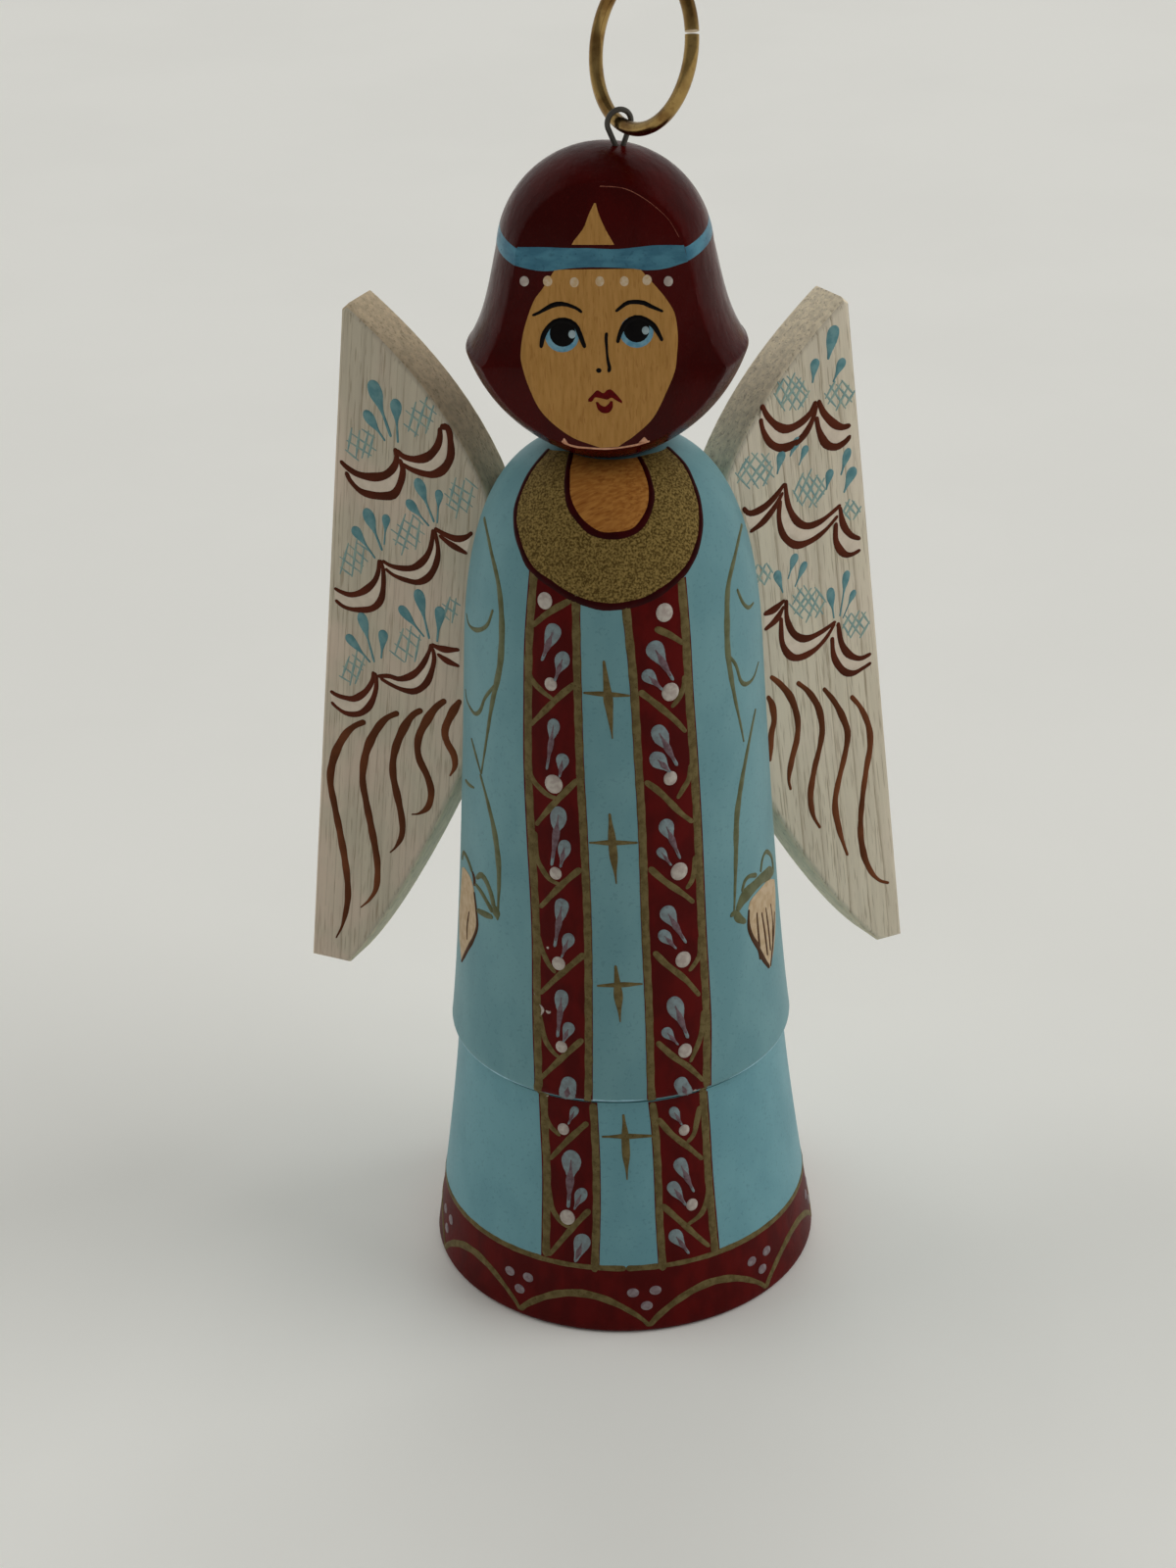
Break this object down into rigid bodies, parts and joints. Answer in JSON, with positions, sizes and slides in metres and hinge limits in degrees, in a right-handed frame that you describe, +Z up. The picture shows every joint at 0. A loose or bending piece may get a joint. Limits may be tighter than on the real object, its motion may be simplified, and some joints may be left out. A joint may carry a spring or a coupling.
{
  "type": "wooden angel ornament",
  "caption": "Turned and painted wooden angel figure with flat board wings, standing on a round flat base, with a brass ring in a wire eye on its head to hang it by.",
  "frame": {"origin": "centre of the flat round base, on the surface that the figure stands on", "axes": "+Z up through the head, -Y towards the viewer of the face, +X to that viewer's right"},
  "size_m": [0.0619, 0.0398, 0.1309],
  "materials": {
    "robe_paint": "light blue paint with painted ornament, satin varnish",
    "hair_paint": "dark maroon paint, gloss varnish, bare wood face",
    "whitewashed_wood": "thin white wash on open grain, matt varnish",
    "bare_wood": "bare",
    "black_wire": "black annealed",
    "brass": "polished, slightly tarnished"
  },
  "bodies": {
    "figure": {"skirt": "robe_paint", "robe": "robe_paint", "neck_dowel": "bare_wood", "head": "hair_paint", "wing_left": "whitewashed_wood", "wing_right": "whitewashed_wood", "hanger_eye": "black_wire"},
    "ring": {"hanger_ring": "brass"}
  },
  "joints": [
    {"name": "ring_swing", "type": "hinge", "parent": "figure", "child": "ring", "pos_m": [0.00145, 0, 0.11699], "axis": [0.502, -0.8457, -0.1811], "range_deg": [-119, 139]}
  ]
}
